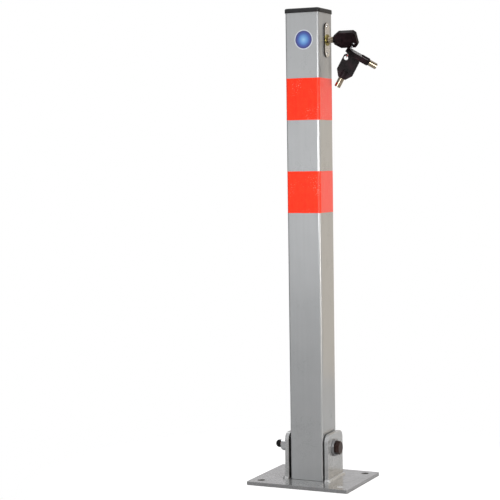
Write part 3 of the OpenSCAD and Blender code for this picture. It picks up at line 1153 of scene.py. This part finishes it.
@dataclass
class Base(Assembly):
    """The base plate with its two ears and their welds."""

    ear_in: float = 27 * MM
    ear_out: float = 33 * MM
    ear_front: float = 25 * MM
    ear_back: float = 30 * MM
    plate_top: float = 5 * MM
    edge: float = 0.7 * MM
    weld_leg: float = 3.5 * MM
    weld_start: float = 0.8 * MM
    weld_bend: float = 1.2 * MM
    weld_step: float = 0.4 * MM
    weld_facets: int = 20
    bend_steps: int = 5
    ripple: float = 2.3 * MM
    ripple_least: float = 0.9
    ripple_form: float = 0.7
    uneven: float = 0.05
    bump: float = 0.12 * MM
    bump_fineness: float = 900

    def build(self) -> None:
        """Makes the plate, the ears and the beads."""
        for node in ("base_plate", "left_ear", "right_ear"):
            self.soften(node, Body.BASE, Slot.BASE_PAINT, self.edge, segments=3)
        self.weld(1, "right_ear_weld")
        self.weld(-1, "left_ear_weld")

    def weld(self, side: int, node: str) -> None:
        """Lays one bead round the outer foot of an ear.

        Args:
            side: 1 for the right ear and -1 for the left.
            node: The CAD node that it stands for.
        """
        inside, outside = side * (self.ear_in + self.weld_start), side * self.ear_out
        corners = [
            Vector((inside, -self.ear_front, self.plate_top)),
            Vector((outside, -self.ear_front, self.plate_top)),
            Vector((outside, self.ear_back, self.plate_top)),
            Vector((inside, self.ear_back, self.plate_top)),
        ]
        turns = [math.tau * i / self.weld_facets for i in range(self.weld_facets)]
        blank = Blank()
        blank.sweep([(math.cos(a), math.sin(a)) for a in turns], list(self.stations(corners)))
        blank.roughen(self.bump, self.bump_fineness)
        self.piece(blank, f"{node}_bead", Body.BASE, Slot.WELD_PAINT, node, smooth=70)

    def stations(self, corners: Sequence[Vector]) -> Iterable[Matrix]:
        """The places of the bead's section, with its ripples as changes of size.

        Args:
            corners: The corners of the bead's path.

        Yields:
            One place at every step, turned round each corner.
        """
        travelled = 0.0
        legs = list(zip(corners, corners[1:]))
        for (start, end), following in zip(legs, [*legs[1:], None]):
            heading = (end - start).normalized()
            length = (end - start).length
            straight = length - self.weld_bend if following else length
            count = max(2, round(straight / self.weld_step))
            for i in range(count):
                place = start + heading * straight * i / count
                yield self.section_at(place, heading, travelled + straight * i / count)
            travelled += length
            if following:
                turned = (following[1] - following[0]).normalized()
                for i in range(self.bend_steps):
                    part = i / self.bend_steps
                    place = end - heading * self.weld_bend * (1 - part)
                    mixed = heading.lerp(turned, part).normalized()
                    yield self.section_at(place, mixed, travelled + self.weld_step * i)
        yield self.section_at(corners[-1], legs[-1][1] - legs[-1][0], travelled)

    def section_at(self, place: Vector, heading: Vector, travelled: float) -> Matrix:
        """One place of the bead's section.

        Args:
            place: Its centre.
            heading: Direction of the bead.
            travelled: Length of the bead so far.

        Returns:
            The place, scaled to the bead's size there.
        """
        wave = (travelled / self.ripple) % 1.0
        crest = math.sin(math.pi * wave) ** self.ripple_form
        swell = self.ripple_least + (1 - self.ripple_least) * crest
        swell *= 0.97 + self.uneven * noise.noise(Vector((travelled * 160, 0, place.x * 30)))
        size = self.weld_leg * min(swell, 1.0)
        grown = Matrix.Diagonal((size, size, size, 1))
        return facing(place, heading.normalized().cross(UP), UP) @ grown


@dataclass
class Pivot(Assembly):
    """The bolt through the ears and the post, with its washers, nut and domed cap."""

    def build(self) -> None:
        """Rounds each piece: its node, finish, rounding in mm, and the least turn of an edge."""
        for node, slot, width, sharper in (
            ("pivot_bolt", Slot.BLACK_BOLT, 0.35, 40),
            ("head_spacer", Slot.SPACER_STEEL, 0.4, 35),
            ("flat_washer", Slot.ZINC_STEEL, 0.3, 35),
            ("spring_washer", Slot.ZINC_STEEL, 0.25, 35),
            ("pivot_nut", Slot.ZINC_STEEL, 0.25, 40),
            ("bolt_end_cap", Slot.BLACK_CAP, 0.4, 35),
            ("side_washers", Slot.WASHER_NYLON, 0.3, 35),
        ):
            self.soften(node, Body.BASE, slot, width * MM, sharper=sharper)


@dataclass(frozen=True)
class Bubble:
    """A little air under the film: its place along the strip and above the ground, and size."""

    run: float
    height: float
    width: float
    rise: float

    def near(self, run: float) -> bool:
        """Whether it reaches this place along the strip."""
        return abs(run - self.run) < 4 * self.width

    def lift(self, run: float, height: float) -> float:
        """How far it lifts the film at a point.

        Args:
            run: The point's place along the strip.
            height: Its height above the ground.

        Returns:
            The lift in metres.
        """
        apart = (run - self.run) ** 2 + (height - self.height) ** 2
        return self.rise * math.exp(-apart / (2 * self.width**2))


@dataclass
class Band(Assembly):
    """One reflective band: a strip of film wrapped once round the tube, with its ends lapped."""

    name: str
    bottom: float
    top: float
    seed: int
    half: float = 25 * MM
    corner: float = 3.5 * MM
    corner_steps: int = 6
    thick: float = 0.2 * MM
    bedded: float = 0.02 * MM
    crease: float = 0.035 * MM
    crease_fineness: tuple[float, float] = (400, 30)
    wander: float = 0.25 * MM
    wander_fineness: tuple[float, float] = (60, 50)
    step: float = 1.0 * MM
    start: float = 8 * MM
    lap: float = 9 * MM
    lap_rise: float = 0.225 * MM
    lap_lead: int = 4
    lap_slope: int = 3
    front: float = 91 * MM
    length: float = 200 * MM

    def build(self) -> None:
        """Wraps the strip, gives it its bubbles and makes it as thick as the film."""
        random.seed(self.seed)
        bubbles = self.bubbles()
        places = self.path()
        rows = round((self.top - self.bottom) / self.step)
        blank = Blank()
        self.wrap(blank, places, rows)
        self.shape(blank, places, rows, bubbles)
        self.thicken(blank)
        self.piece(blank, f"{self.name}_film", Body.POST, Slot.RED_TAPE, self.name, smooth=50)

    def path(self) -> list[tuple[Vector, Vector]]:
        """The strip's way round the tube, seen from above.

        Returns:
            Place and outward direction, every step, from the lap at the back and round to it.
        """
        flat = self.half - self.corner
        back, left = Vector((0, 1, 0)), Vector((-1, 0, 0))
        front, right = Vector((0, -1, 0)), Vector((1, 0, 0))
        sides = [(back, left), (left, front), (front, right), (right, back), (back, left)]
        places: list[tuple[Vector, Vector]] = []
        for k, (out, along) in enumerate(sides):
            closing = k == len(sides) - 1
            low = self.start if k == 0 else -flat
            high = self.start + self.lap if closing else flat
            count = max(1, round((high - low) / self.step))
            for i in range(count + closing):
                travel = low + (high - low) * i / count
                places.append((out * self.half + along * travel, out))
            if not closing:
                centre = out * flat + along * flat
                for i in range(self.corner_steps):
                    turn = math.pi / 2 * i / self.corner_steps
                    away = out * math.cos(turn) + along * math.sin(turn)
                    places.append((centre + away * self.corner, away))
        return places

    def wrap(self, blank: Blank, places: Sequence[tuple[Vector, Vector]], rows: int) -> None:
        """Draws an upright row of edges round the tube.

        Args:
            blank: The empty blank.
            places: The strip's way.
            rows: Edges in the row.
        """
        heights = [self.bottom + (self.top - self.bottom) * i / rows for i in range(rows + 1)]
        column = [blank.bm.verts.new(Vector((0, 0, z))) for z in heights]
        last = [blank.bm.edges.new(pair) for pair in zip(column, column[1:])]
        bmesh.ops.translate(blank.bm, verts=column, vec=places[0][0])
        for (before, _), (after, _) in zip(places, places[1:]):
            points, last = blank.extruded(last)
            bmesh.ops.translate(blank.bm, verts=points, vec=after - before)

    def shape(
        self,
        blank: Blank,
        places: Sequence[tuple[Vector, Vector]],
        rows: int,
        bubbles: Sequence[Bubble],
    ) -> None:
        """Lifts the film at its bubbles, creases and lap, and lets its edges wander.

        Args:
            blank: The wrapped strip.
            places: The strip's way.
            rows: Edges in each upright row.
            bubbles: What lifts it.
        """
        verts = blank.bm.verts
        verts.ensure_lookup_table()
        lapped = len(places) - round(self.lap / self.step) - self.lap_lead
        round_fold, up_fold = self.crease_fineness
        round_edge, up_edge = self.wander_fineness
        for index, (_, out) in enumerate(places):
            over = min(1.0, max(0.0, (index - lapped) / self.lap_slope)) * self.lap_rise
            run = index * self.step
            here = [bubble for bubble in bubbles if bubble.near(run)]
            for vert in verts[index * (rows + 1) : (index + 1) * (rows + 1)]:
                rise = sum(bubble.lift(run, vert.co.z) for bubble in here)
                place = Vector((run * round_fold, vert.co.z * up_fold, self.seed))
                fold = max(self.crease * noise.noise(place), 0)
                vert.co += out * (self.bedded + rise + over + fold)
                inside = min(vert.co.z - self.bottom, self.top - vert.co.z)
                if inside < self.step / 2:
                    place = Vector((run * round_edge, 0, vert.co.z * up_edge))
                    vert.co.z += self.wander * noise.noise(place)

    def thicken(self, blank: Blank) -> None:
        """Turns the strip's faces outwards and gives it the film's thickness.

        Args:
            blank: The shaped strip.
        """
        bm = blank.bm
        bmesh.ops.recalc_face_normals(bm, faces=bm.faces)
        centres = [(f.normal, Vector((*f.calc_center_median().xy, 0))) for f in bm.faces]
        if sum(normal.dot(centre) for normal, centre in centres) < 0:
            bmesh.ops.reverse_faces(bm, faces=bm.faces)
        bmesh.ops.solidify(bm, geom=list(bm.faces), thickness=-self.thick)
        bmesh.ops.recalc_face_normals(bm, faces=bm.faces)

    def bubbles(self) -> list[Bubble]:
        """The small bubbles under the film: many on the front, and wider, flatter ones all round.

        Returns:
            The bubbles.
        """
        low, high = self.bottom, self.top
        fronted = [
            Bubble(
                random.gauss(self.front, 9 * MM),
                random.uniform(low + 4 * MM, high - 4 * MM),
                random.uniform(0.5, 1.1) * MM,
                random.uniform(0.1, 0.28) * MM,
            )
            for _ in range(34)
        ]
        spread = [
            Bubble(
                random.uniform(0, self.length),
                random.uniform(low + 3 * MM, high - 3 * MM),
                random.uniform(0.6, 2.2) * MM,
                random.uniform(0.04, 0.16) * MM,
            )
            for _ in range(40)
        ]
        return fronted + spread


@dataclass
class Post(Assembly):
    """The square tube with its end cap, bands and round label, and the guides inside it."""

    label_centre: Point = (3 * MM, -25 * MM, 620.5 * MM)
    label_radius: float = 13.5 * MM
    label_thick: float = 0.2 * MM
    label_edge: float = 0.15 * MM
    label_rim: float = 1.1 * MM
    label_dip: float = 0.04 * MM
    first_seed: int = 20

    def build(self) -> None:
        """Makes the tube and what is on and in it."""
        self.soften("post_tube", Body.POST, Slot.POST_PAINT, 0.4 * MM, sharper=50)
        self.soften("end_cap", Body.POST, Slot.BLACK_PLASTIC, 0.3 * MM, sharper=60)
        for seed, name in enumerate(("lower_band", "upper_band"), self.first_seed):
            low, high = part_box(name)
            Band(self.palette, name, low.z, high.z, seed).build()
        self.label()
        self.paint("pivot_sleeve", Slot.BARE_STEEL)
        for name in ("upper_guide", "lower_guide"):
            self.soften(name, Body.POST, Slot.BARE_STEEL, 0.3 * MM)

    def label(self) -> None:
        """Makes the round label, with a soft edge."""
        blank = Blank()
        bm = blank.bm
        place = Matrix.Translation(self.label_centre) @ Matrix.Rotation(math.pi / 2, 4, "X")
        disc = bmesh.ops.create_circle(
            bm, cap_ends=True, segments=96, radius=self.label_radius, matrix=place
        )
        faces = list({f for v in disc["verts"] for f in v.link_faces})
        grown = bmesh.ops.extrude_face_region(bm, geom=faces)["geom"]
        bmesh.ops.translate(bm, verts=points_in(grown), vec=(0, -self.label_thick, 0))
        bmesh.ops.recalc_face_normals(bm, faces=bm.faces)
        for thickness, depth in ((self.label_edge, 0.0), (self.label_rim, -self.label_dip)):
            front = [f for f in bm.faces if f.normal.y < -0.9 and len(f.verts) > 8]
            bmesh.ops.inset_region(
                bm, faces=front, thickness=thickness, depth=depth, use_even_offset=True
            )
        self.piece(blank, "round_label", Body.POST, Slot.STICKER, "front_sticker", smooth=30)


@dataclass
class Lock(Assembly):
    """The lock on the right face and the bar that it drops into the base."""

    def build(self) -> None:
        """Rounds each piece: its node, body, finish, rounding in mm and facets."""
        for node, body, slot, width, segments in (
            ("lock_plate", Body.POST, Slot.LOCK_NICKEL, 0.45, 3),
            ("plate_rivets", Body.POST, Slot.LOCK_NICKEL, 0.15, 2),
            ("lock_housing", Body.POST, Slot.LOCK_BRASS, 0.25, 2),
            ("lock_plug", Body.LOCK_PLUG, Slot.LOCK_BRASS, 0.2, 2),
            ("lock_cam", Body.LOCK_PLUG, Slot.BARE_STEEL, 0.25, 2),
            ("lock_bar", Body.LOCK_BAR, Slot.BARE_STEEL, 0.4, 2),
        ):
            self.soften(node, body, slot, width * MM, segments)
        self.paint("cam_screw", Slot.ZINC_STEEL)


@dataclass
class Keys(Assembly):
    """The key in the lock and the two spare ones that hang from its split ring."""

    head_edge: float = 0.6 * MM
    ring_tilt: float = 61.0
    ring_turn: float = 204.0
    ring_radius: float = 11.2 * MM
    ring_height: float = 1.8 * MM
    wire_width: float = 1.4 * MM
    wire_edge: float = 0.2 * MM
    wire_ends: tuple[int, int] = (30, 690)
    wire_step: int = 5
    crossing: tuple[float, float] = (330, 60)
    closeness: float = 0.97

    def build(self) -> None:
        """Paints the barrels, moulds the heads and winds the ring."""
        for prefix, body in (
            ("key", Body.KEY),
            ("spare_key_a", Body.SPARE_KEY_A),
            ("spare_key_b", Body.SPARE_KEY_B),
        ):
            self.paint(f"{prefix}_barrel", Slot.KEY_NICKEL)
            head = Blank.copied(f"{prefix}_head")
            head.round_edges(self.head_edge, 3, 40)
            self.piece(
                head, f"{prefix}_head_moulding", body, Slot.KEY_PLASTIC, f"{prefix}_head"
            )
        self.ring()

    def ring(self) -> None:
        """Winds the split ring: nearly two turns of flat wire, with a step from one to the next."""
        low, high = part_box("key_ring")
        place = (
            Matrix.Translation((low + high) / 2)
            @ Matrix.Rotation(math.radians(self.ring_turn), 4, "Z")
            @ Matrix.Rotation(math.radians(self.ring_tilt), 4, "Y")
        )
        pitch = self.ring_height / 2
        begin, end = self.wire_ends
        crossed, width = self.crossing
        stations = []
        for degree in range(begin, end + 1, self.wire_step):
            rise = min(1.0, max(0.0, (degree - crossed) / width))
            rise = rise * rise * (3 - 2 * rise)
            angle = math.radians(degree)
            out = Vector((math.cos(angle), math.sin(angle), 0))
            centre = out * self.ring_radius + Vector((0, 0, (rise - 0.5) * pitch))
            stations.append(place @ facing(centre, out, UP))
        half_w, half_h = self.wire_width / 2, pitch / 2 * self.closeness
        blank = Blank()
        blank.sweep(
            [(-half_w, -half_h), (half_w, -half_h), (half_w, half_h), (-half_w, half_h)], stations
        )
        blank.round_edges(self.wire_edge, 3, 50)
        self.piece(blank, "split_ring", Body.KEY_RING, Slot.RING_STEEL, "key_ring")


# The studio


def staged(name: str, blank: Blank, finish: Finish) -> bpy.types.Object:
    """Adds a mesh for the studio round the barrier, with its own finish.

    Args:
        name: Its name.
        blank: Its shape.
        finish: Its finish.

    Returns:
        The object.
    """
    made = added(name, blank.mesh(name, finish.material(name)))
    return made


@dataclass(frozen=True)
class Softbox:
    """A soft lamp; a grid over it narrows its beam, which is in degrees."""

    name: str
    place: Point
    aim: Point
    size: tuple[float, float]
    watts: float
    beam: float = 180.0
    tint: Colour = WHITE

    def hang(self) -> None:
        """Adds it to the scene, where only its light shows."""
        data = bpy.data.lights.new(self.name, "AREA")
        data.shape = "RECTANGLE"
        data.size, data.size_y = self.size
        data.energy = self.watts
        data.spread = math.radians(self.beam)
        data.color = self.tint
        made = added(self.name, data)
        made.location = self.place
        made.rotation_mode = "QUATERNION"
        way = Vector(self.aim) - Vector(self.place)
        made.rotation_quaternion = way.to_track_quat("-Z", "Y")
        made.visible_camera = False


@dataclass(frozen=True)
class Card:
    """An upright card beside the barrier: its lower corner, the way across it, and its height."""

    name: str
    corner: Point
    across: Point
    height: float
    colour: Colour

    def stand(self) -> None:
        """Adds it to the scene, where it only shows as a reflection."""
        blank = Blank()
        ends = (Vector(self.corner), Vector(self.corner) + Vector(self.across))
        foot = blank.bm.edges.new([blank.bm.verts.new(end) for end in ends])
        points, _ = blank.extruded([foot])
        bmesh.ops.translate(blank.bm, verts=points, vec=(0, 0, self.height))
        made = staged(self.name, blank, LitCard(self.colour))
        made.visible_camera = made.visible_diffuse = made.visible_shadow = False


CARDS = (
    Card("left_card", (-0.75, -0.4, 0.0), (-0.05, 1.0, 0.0), 1.2, shade(6, 6, 6)),
    Card("near_card", (-0.38, -1.3, 0.0), (0.14, 0.0, 0.0), 1.2, shade(30, 22, 20)),
    Card("far_card", (1.06, -0.15, 0.0), (-0.1, 0.8, 0.0), 1.2, shade(8, 7, 6)),
    Card("edge_card", (-1.63, 0.76, 0.0), (0.5, 0.57, 0.0), 1.2, shade(14, 14, 14)),
    Card("back_card", (-1.2, 1.65, 0.0), (1.1, 0.7, 0.0), 1.2, shade(206, 204, 205)),
    Card("room_card", (0.25, -2.6, 0.0), (1.9, 0.5, 0.0), 2.8, shade(16, 10, 8)),
    Card("right_card", (-0.05, 1.1, 0.0), (0.95, -0.42, 0.0), 1.2, shade(240, 226, 206)),
    Card("upper_card", (-0.02, 1.05, 0.62), (0.9, -0.42, 0.0), 0.7, shade(196, 188, 178)),
)

SOFTBOXES = (
    Softbox("front_softbox", (0.07, -0.5, 0.43), (0, 0, 0.43), (0.16, 0.2), 0.32, beam=110),
    Softbox("corner_softbox", (0.62, -0.78, 0.54), (0, 0, 0.5), (0.7, 0.34), 1.15, beam=95),
    Softbox(
        "side_softbox", (1.5, -0.4, 0.24), (0, 0, 0.24), (0.5, 0.4), 6.2, tint=(1.0, 0.93, 0.82)
    ),
    Softbox("left_softbox", (-1.0, 0.7, 1.5), (0, 0, 0.33), (0.6, 0.8), 3.0),
    Softbox("back_softbox", (0.2, 1.6, 1.5), (0, 0, 0.33), (0.8, 0.6), 6.0),
    Softbox("top_softbox", (0.2, -0.2, 1.7), (0, 0, 0), (1.2, 1.2), 3.2),
)


@dataclass
class Studio:
    """Camera, lamps, cards, floor and white surroundings."""

    eye: Point = (0.8089, -1.9082, 0.4606)
    yaw: float = 25.35
    pitch: float = 3.631
    roll: float = -0.810
    lens: float = 106.1
    sensor: float = 36.0
    clip: tuple[float, float] = (0.05, 60.0)
    floor_half: float = 6.0
    floor_drop: float = 0.2 * MM
    ambient: float = 0.3

    def build(self) -> None:
        """Sets up everything round the barrier."""
        self.camera()
        self.surroundings()
        self.floor()
        for card in CARDS:
            card.stand()
        for softbox in SOFTBOXES:
            softbox.hang()
        bpy.context.scene.view_settings.view_transform = "Standard"
        LOG.info("studio: camera, floor, %d cards, %d softboxes", len(CARDS), len(SOFTBOXES))

    def camera(self) -> None:
        """Sets up the camera of the photograph."""
        yaw, pitch, roll = (math.radians(a) for a in (self.yaw, self.pitch, self.roll))
        ahead = Vector(
            (-math.sin(yaw) * math.cos(pitch), math.cos(yaw) * math.cos(pitch), -math.sin(pitch))
        )
        level = ahead.cross(UP).normalized()
        upright = level.cross(ahead)
        right = math.cos(roll) * level + math.sin(roll) * upright
        up = -math.sin(roll) * level + math.cos(roll) * upright
        data = bpy.data.cameras.new("camera")
        data.sensor_width = self.sensor
        data.lens = self.lens
        data.clip_start, data.clip_end = self.clip
        made = added("camera", data)
        made.matrix_world = facing(self.eye, right, up)
        bpy.context.scene.camera = made

    def surroundings(self) -> None:
        """Makes the world white where it is seen or mirrored, and plain where it gives light."""
        world = bpy.data.worlds.new("studio")
        world.use_nodes = True
        bpy.context.scene.world = world
        bench = NodeBench(world.node_tree)
        seen, mirrored, through = (
            bench.node("ShaderNodeLightPath", output=f"Is {ray} Ray")
            for ray in ("Camera", "Glossy", "Transmission")
        )
        shown = seen.larger(mirrored).larger(through)
        strength = shown * (1.0 - self.ambient) + self.ambient
        sky = bench.node("ShaderNodeBackground", sockets={"Color": WHITE, "Strength": strength})
        bench.node("ShaderNodeOutputWorld", sockets={"Surface": sky})

    def floor(self) -> None:
        """Lays the floor, a hair below the plate."""
        blank = Blank()
        bmesh.ops.create_grid(blank.bm, x_segments=2, y_segments=2, size=self.floor_half)
        staged("floor", blank, PaleFloor()).location.z = -self.floor_drop


def main() -> None:
    """Builds the studio and the barrier."""
    logging.basicConfig(level=logging.INFO, format="%(message)s")
    palette = Palette(Post.label_centre, Post.label_radius)
    Studio().build()
    for assembly in (Base, Pivot, Post, Lock, Keys):
        assembly(palette).build()
        LOG.info("%s done", assembly.__name__)


if __name__ == "__main__":
    main()
